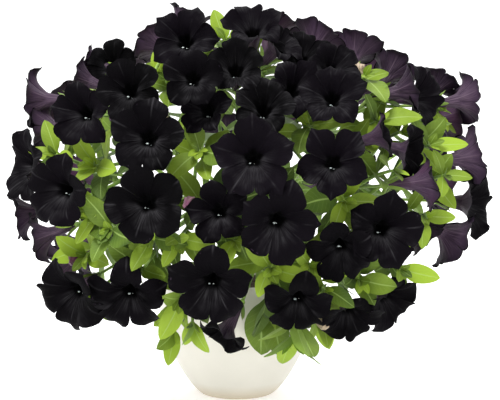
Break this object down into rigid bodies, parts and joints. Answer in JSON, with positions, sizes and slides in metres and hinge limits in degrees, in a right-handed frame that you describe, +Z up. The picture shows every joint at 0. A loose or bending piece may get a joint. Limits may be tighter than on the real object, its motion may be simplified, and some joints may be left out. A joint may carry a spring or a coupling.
{
  "type": "potted flowering plant",
  "caption": "Bedding plant in a round cream bowl pot: a dome of near-black trumpet-shaped blooms over leafy green shoots, for a balcony, patio or windowsill.",
  "frame": {"origin": "middle of the pot's foot, on the surface that the pot stands on", "axes": "+Z up along the pot's axis, -Y towards the viewer in the front view, +X to the viewer's right"},
  "size_m": [0.3533, 0.3369, 0.2971],
  "materials": {
    "pot": "smooth satin, cream white",
    "compost": "dark crumbly compost, matte",
    "green": "soft, finely haired leaves and stems, lime to mid green",
    "petal": "velvety near-black purple petals with a lavender-purple underside",
    "wilted": "shrivelled, pinkish tan to dark magenta, matte"
  },
  "bodies": {
    "root": {"pot": "pot", "compost": "compost", "shoot_1": "green", "shoot_2": "green", "shoot_3": "green", "shoot_4": "green", "shoot_5": "green", "shoot_6": "green", "bloom_01_14": "petal", "bloom_02": "petal", "bloom_03_04": "petal", "bloom_05": "petal", "bloom_06": "petal", "bloom_07": "petal", "bloom_08": "petal", "bloom_09": "petal", "bloom_10": "petal", "bloom_11_12": "petal", "bloom_13_40": "petal", "bloom_15": "petal", "bloom_16": "petal", "bloom_17": "petal", "bloom_18_19": "petal", "bloom_20_38": "petal", "bloom_21_22_53_54": "petal", "bloom_23": "petal", "bloom_24": "petal", "bloom_25": "petal", "bloom_26_27": "petal", "bloom_28_50_51": "petal", "bloom_29_30_31_32": "petal", "bloom_33": "petal", "bloom_34": "petal", "bloom_35": "petal", "bloom_36": "petal", "bloom_37": "petal", "bloom_39": "petal", "bloom_41_52": "petal", "bloom_42_43_44": "petal", "bloom_45": "petal", "bloom_46": "petal", "bloom_47": "petal", "bloom_48_49": "petal", "bloom_55_56": "petal", "bloom_57_58": "petal", "bloom_59_60": "petal", "bloom_61_62": "petal", "bloom_63_64": "petal", "bloom_65_66": "petal", "bloom_67_68": "petal", "bloom_69_70": "petal", "bloom_71_72": "petal", "bloom_73_74": "petal", "bloom_75_76": "petal", "spent_bloom_1": "wilted", "spent_bloom_2": "wilted", "spent_bloom_3": "wilted", "spent_bloom_4": "wilted", "spent_bloom_5": "wilted", "spent_bloom_6": "wilted"}
  },
  "joints": []
}
